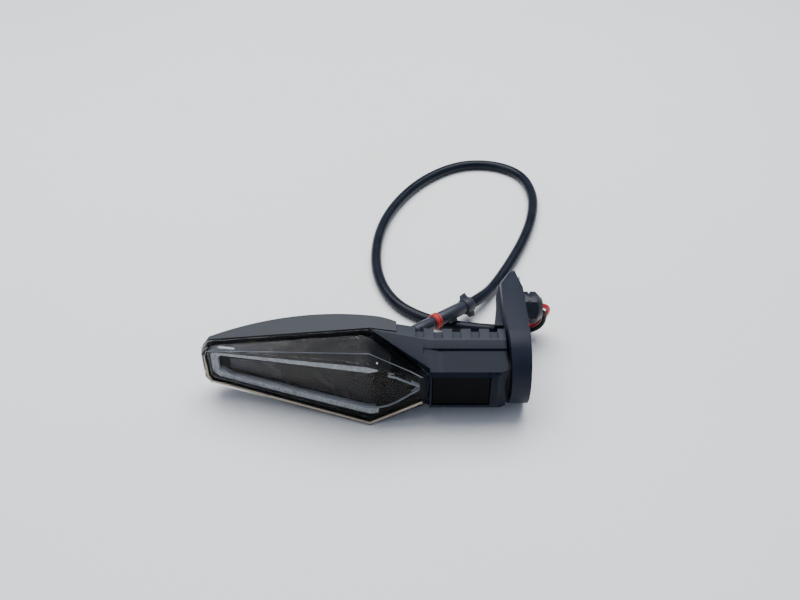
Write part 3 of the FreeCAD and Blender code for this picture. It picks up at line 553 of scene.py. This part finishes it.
def wall_shade():
    """Painted shade: a dark band inside the clear wall, round the tip and along the lower edge, that keeps
    the floor from showing through it.
    """
    corners = [(LENS_OUTLINE[0][0] + SHADE_INSET, LENS_OUTLINE[0][1] - SHADE_INSET / 2)]
    corners += [(LENS_OUTLINE[0][0] + SHADE_INSET, -LENS_OUTLINE[0][1] + SHADE_INSET / 2)]
    corners += [(x, -half + SHADE_INSET) for x, half in LENS_OUTLINE[1:-1]]
    corners += [(NECK_EDGE_X - SHADE_INSET, -outline_half(NECK_EDGE_X) + SHADE_INSET)]
    line = even_points(corners, WALL_STEP)

    def section(k, point):
        """Thin dark band from just behind the rim back to the joint."""
        front = front_y(point.x) + SHADE_FRONT
        back = max(front + 0.5, parting_y(point.x) - 0.4)
        return [(-0.15, front), (0.15, front), (0.15, back), (-0.15, back)]

    shade = swept("wall_shade", line, section)
    smooth_shade(shade, 40.0)
    return shade


def lens_flange():
    """Low step round the lens, a little in front of the joint."""
    corners = [(NECK_EDGE_X, outline_half(NECK_EDGE_X))]
    corners += [point for point in reversed(LENS_OUTLINE[:-1])]
    corners += [(x, -half) for x, half in LENS_OUTLINE[:-1]]
    corners += [(NECK_EDGE_X, -outline_half(NECK_EDGE_X))]
    line = even_points(corners, WALL_STEP)

    def section(k, point):
        """Flat band with a sloping front edge."""
        back = parting_y(point.x)
        return [(0.2, back - FLANGE_WIDTH - 0.25), (-FLANGE_RISE, back - FLANGE_WIDTH), (-FLANGE_RISE, back),
                (0.2, back)]

    flange = swept("lens_flange", line, section)
    smooth_shade(flange, 30.0)
    return flange


def flexing(node, name, width):
    """Softened and sliced copy of a deforming node that bends between the foot and the lamp."""
    piece = softened(node, name, width) if width else copied(node, name)
    slice_along_x(piece, FLEX_SLICES[0], FLEX_SLICES[1], FLEX_SLICES[2])
    smooth_shade(piece)
    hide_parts(node)
    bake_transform(piece)
    return piece


def copied(node, name):
    """Plain mesh copy of a CAD node."""
    mesh = NODES[node].data.copy()
    mesh.name = name
    mesh.materials.clear()
    return new_piece(name, mesh)


def paint_boot(boot, dark, grey, line):
    """Dark faces in front, the grey ribbed strip behind, and a fine dark edge between them."""
    for material in (dark, grey, line):
        boot.data.materials.append(material)
    for polygon in boot.data.polygons:
        x, y, z = (value / MM for value in polygon.center)
        edge = y - strip_line(x)
        if abs(edge) < STRIP_EDGE and abs(z) > STRIP_EDGE_Z:
            polygon.material_index = 2
        elif edge > 0.0:
            polygon.material_index = 1


make_camera()
lead, lead_path = cord_tube("lead_cord", CORD_ROUTE, CORD_DIAMETER)
red_wire, red_path = cord_tube("red_wire", WIRE_RED_ROUTE, WIRE_DIAMETER)
black_wire, black_path = cord_tube("black_wire", WIRE_BLACK_ROUTE, WIRE_DIAMETER)
for piece, node in ((lead, "lead_sleeve"), (red_wire, "wire_red"), (black_wire, "wire_black")):
    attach(piece, "base")
    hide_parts(node)
rounded_pieces = {}
for node, name, width, body in ROUNDED:
    rounded_pieces[node] = softened(node, name, width * MM)
    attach(rounded_pieces[node], body)
    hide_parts(node)

shell_grey = moulded("shell_grey", (0.029, 0.032, 0.037), (0.037, 0.041, 0.047),
                     (0.50, 0.62), 4200.0, 0.00004, 0.3)
neck_dark = moulded("neck_dark", (0.005, 0.0078, 0.0155), (0.0072, 0.0108, 0.0200),
                    (0.26, 0.34), 5200.0, 0.000008, 0.08)
neck_grey = moulded("neck_grey", (0.023, 0.027, 0.036), (0.031, 0.036, 0.046),
                    (0.50, 0.62), 4200.0, 0.00004, 0.2)
foot_black = moulded("foot_black", (0.009, 0.0125, 0.022), (0.0135, 0.0175, 0.029),
                     (0.38, 0.50), 4200.0, 0.00002, 0.14)
core_black = moulded("core_black", (0.006, 0.006, 0.007), (0.01, 0.01, 0.012),
                     (0.4, 0.5), 4000.0, 0.00002, 0.2)
panel_black = moulded("panel_black", (0.001, 0.001, 0.002), (0.002, 0.002, 0.003),
                      (0.05, 0.10), 3000.0, 0.000002, 0.04)
seal_black = moulded("seal_black", (0.003, 0.003, 0.004), (0.006, 0.006, 0.007),
                     (0.5, 0.6), 5000.0, 0.00002, 0.2)
# Partly the guide's own light grey, partly painted light: raised to stand in for light the clear guide
# carries inside the dark lamp.
guide_clear = moulded("guide_clear", (0.36, 0.38, 0.42), (0.60, 0.63, 0.68),
                      (0.08, 0.18), 1800.0, 0.00006, 0.5, 700.0)
# Painted highlight: light grey for the bright edge lines in the clear plastic.
ridge_painted_highlight = moulded("ridge_painted_highlight", (0.17, 0.19, 0.225), (0.23, 0.25, 0.29),
                      (0.10, 0.18), 1800.0, 0.00001, 0.6)
# Painted reflection: beige for the pale table seen through the lens's lower edge.
rim_painted_reflection = moulded("rim_painted_reflection", (0.46, 0.38, 0.29), (0.58, 0.49, 0.38), (0.10, 0.18), 1800.0, 0.00001, 0.5)
bezel_dark = painted_falloff_bezel()
# Painted shade: near black for the band inside the clear wall.
shade_dark = moulded("shade_dark", (0.006, 0.006, 0.008), (0.010, 0.010, 0.012),
                     (0.3, 0.4), 3000.0, 0.000004, 0.1)
board_green = moulded("board_green", (0.02, 0.09, 0.05), (0.03, 0.13, 0.07), (0.3, 0.4), 2000.0, 0.00001)
led_yellow = moulded("led_yellow", (0.75, 0.55, 0.15), (0.85, 0.66, 0.22), (0.1, 0.2), 2000.0, 0.00001)
chip_black = moulded("chip_black", (0.02, 0.02, 0.02), (0.03, 0.03, 0.03), (0.4, 0.5), 4000.0, 0.00001)
outlet_black = moulded("outlet_black", (0.008, 0.010, 0.015), (0.012, 0.015, 0.022),
                       (0.26, 0.36), 3000.0, 0.00001, 0.25)
grommet_black = moulded("grommet_black", (0.010, 0.010, 0.012), (0.015, 0.015, 0.018),
                        (0.4, 0.5), 4000.0, 0.00001)
insulation_red = moulded("wire_red", (0.50, 0.010, 0.020), (0.62, 0.018, 0.03),
                         (0.22, 0.32), 3000.0, 0.00001)
insulation_black = moulded("wire_black", (0.004, 0.004, 0.006), (0.008, 0.008, 0.010),
                           (0.20, 0.30), 3000.0, 0.00001, 0.3)
lead_black = moulded("lead_black", (0.004, 0.006, 0.012), (0.007, 0.010, 0.018),
                     (0.26, 0.34), 3500.0, 0.00001, 0.16)
plug_black = moulded("plug_black", (0.017, 0.021, 0.032), (0.025, 0.030, 0.044),
                     (0.34, 0.46), 5000.0, 0.00002, 0.4)
ring_red = moulded("ring_red", (0.40, 0.030, 0.028), (0.50, 0.045, 0.042), (0.4, 0.5), 3000.0, 0.00002)
steel = metal("steel", (0.45, 0.45, 0.46), (0.6, 0.6, 0.61), (0.25, 0.4), (1.0, 1.0, 12.0))
brass = metal("brass", (0.55, 0.40, 0.18), (0.68, 0.52, 0.26), (0.2, 0.35))
lens_clear = clear_plastic()

paint(lead, lead_black)
paint(red_wire, insulation_red)
paint(black_wire, insulation_black)

neck_boot = flexing("neck_sleeve", "neck_boot", 0.4 * MM)
paint_boot(neck_boot, neck_dark, neck_grey, seal_black)
gloss_panel = flexing("front_panel", "gloss_panel", 0.25 * MM)
paint(gloss_panel, panel_black)
flexing_leads = flexing("neck_leads", "flexing_leads", 0.0)
paint(flexing_leads, insulation_black)

guide = fluted_guide()
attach(guide, "lamp")
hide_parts("light_guide")
paint(guide, guide_clear)
# Both ridges are bars that stand for bright edge lines, painted in the highlight grey.
for ridge in (inner_ridge("inner_ridge", lower_ridge_points()), inner_ridge("ridge_branch", RIDGE_NECK)):
    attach(ridge, "lamp")
    paint(ridge, ridge_painted_highlight)
rim = painted_rim_highlight()
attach(rim, "lamp")
paint(rim, rim_painted_reflection)
# Painted highlight grey on the fine upper line above the tip's half height, painted beige reflection below
# it.
rim.data.materials.append(ridge_painted_highlight)
for polygon in rim.data.polygons:
    polygon.material_index = 1 if polygon.center.z > LENS_OUTLINE[0][1] * MM else 0
shade = wall_shade()
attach(shade, "lamp")
paint(shade, shade_dark)
flange = lens_flange()
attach(flange, "lamp")
paint(flange, lens_clear)

PIECE_MATERIALS = {"mounting_foot": foot_black, "outlet_nut": outlet_black, "plug_retainer": plug_black,
                   "plug_housing": plug_black}
for node, piece in rounded_pieces.items():
    paint(piece, PIECE_MATERIALS[node])

NODE_MATERIALS = {
    "lens": lens_clear, "lens_seal": seal_black, "rear_shell": shell_grey, "bezel": bezel_dark,
    "end_panel": panel_black, "light_guide": guide_clear, "led_board": board_green, "leds": led_yellow,
    "board_parts": chip_black, "board_terminal": chip_black, "board_screws": steel,
    "neck_core_head": core_black, "neck_core_base": core_black,
    "mounting_foot": foot_black, "foot_plate": steel, "threaded_insert": brass,
    "foot_leads": insulation_black, "outlet_body": outlet_black, "outlet_washer": steel,
    "outlet_nut": outlet_black, "wire_grommet": grommet_black, "plug_retainer": plug_black,
    "plug_housing": plug_black, "plug_seal_ring": ring_red, "plug_pins": brass,
}
for node, material in NODE_MATERIALS.items():
    repaint(node, material)

make_floor()
make_light()
